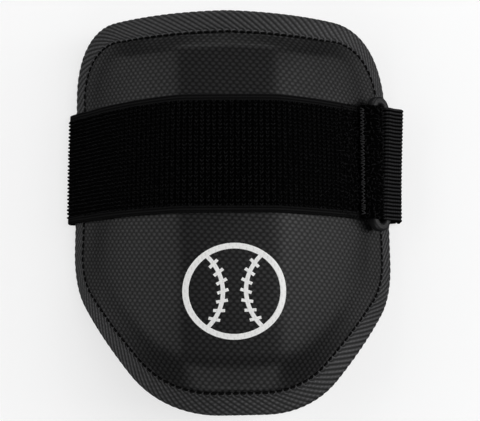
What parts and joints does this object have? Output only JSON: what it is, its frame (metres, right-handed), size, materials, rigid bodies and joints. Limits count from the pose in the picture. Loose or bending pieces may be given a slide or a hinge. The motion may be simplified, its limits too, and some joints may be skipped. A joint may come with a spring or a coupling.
{
  "type": "baseball elbow guard",
  "caption": "Curved padded elbow guard with a raised faceted panel, a bound edge and a wide elastic strap looped through a plastic ring.",
  "frame": {"origin": "middle of the footprint, on the surface that the guard lies on", "axes": "+Z out of the guard's face, +Y along the arm to its upper end, +X to the side with the ring"},
  "size_m": [0.1538, 0.174, 0.054],
  "materials": {
    "woven_cover": "matt black basket-woven nylon",
    "binding_tape": "black ribbed bias-cut tape with a faint sheen",
    "loop_elastic": "deep black brushed loop pile",
    "moulded_plastic": "satin moulded black plastic",
    "hook_tape": "black hook tape"
  },
  "bodies": {
    "root": {"shell": "woven_cover", "edge_binding": "binding_tape", "strap": "loop_elastic", "strap_ring": "moulded_plastic", "hook_patch": "hook_tape"}
  },
  "joints": []
}
